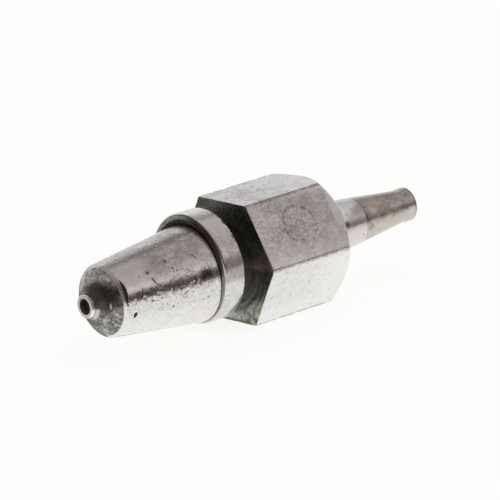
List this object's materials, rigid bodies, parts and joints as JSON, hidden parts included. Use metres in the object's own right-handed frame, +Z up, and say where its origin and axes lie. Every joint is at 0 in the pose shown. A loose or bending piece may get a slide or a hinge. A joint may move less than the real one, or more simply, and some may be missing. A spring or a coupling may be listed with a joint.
{
  "type": "oil burner nozzle",
  "caption": "Oil burner nozzle with a tapered nose, a nipple with a discharge hole, a loose ring, a wrench hexagon and a tapered tube tail.",
  "frame": {"origin": "centre of the nozzle's box, on its axis", "axes": "X along the nozzle, nose towards -X and tail towards +X; Z up, square to a flat of the hexagon; Y towards a corner of the hexagon"},
  "size_m": [0.055, 0.0184, 0.016],
  "materials": {
    "nose_metal": "worn, pitted nickel plate",
    "nipple_metal": "worn bright metal, sooted round the foot",
    "ring_metal": "worn nickel plate",
    "body_metal": "worn nickel plate with shallow pits",
    "ferrule_metal": "worn nickel plate",
    "tail_metal": "heat-tinted, brownish plate",
    "inner_brass": "turned",
    "inner_steel": "bright",
    "washer_copper": "soft copper"
  },
  "bodies": {
    "nozzle": {"nose_cone": "nose_metal", "orifice_insert": "nipple_metal", "hex_body": "body_metal", "tail_ferrule": "ferrule_metal", "tail_tube": "tail_metal", "distributor": "inner_brass", "lock_screw": "inner_brass", "spring_retainer": "inner_brass", "valve_cage": "inner_brass", "valve_spring": "inner_steel", "valve_seat": "inner_steel", "valve_lock_ring": "inner_brass", "strainer_frame": "inner_brass", "strainer_gauze": "inner_steel", "strainer_cap": "inner_brass", "nose_seal_washer": "washer_copper", "tail_seal_washer": "washer_copper"},
    "ring": {"collar_ring": "ring_metal"},
    "ball": {"valve_ball": "inner_steel"}
  },
  "joints": [
    {"name": "ring_slide", "type": "slide", "parent": "nozzle", "child": "ring", "axis": [1, 0, 0], "range_m": [0, 0.0027]},
    {"name": "valve_lift", "type": "slide", "parent": "nozzle", "child": "ball", "axis": [-1, 0, 0], "range_m": [0, 0.0008], "stiffness_N_per_m": 1000, "springref_m": -0.0015, "deforming": ["valve_spring"]}
  ]
}
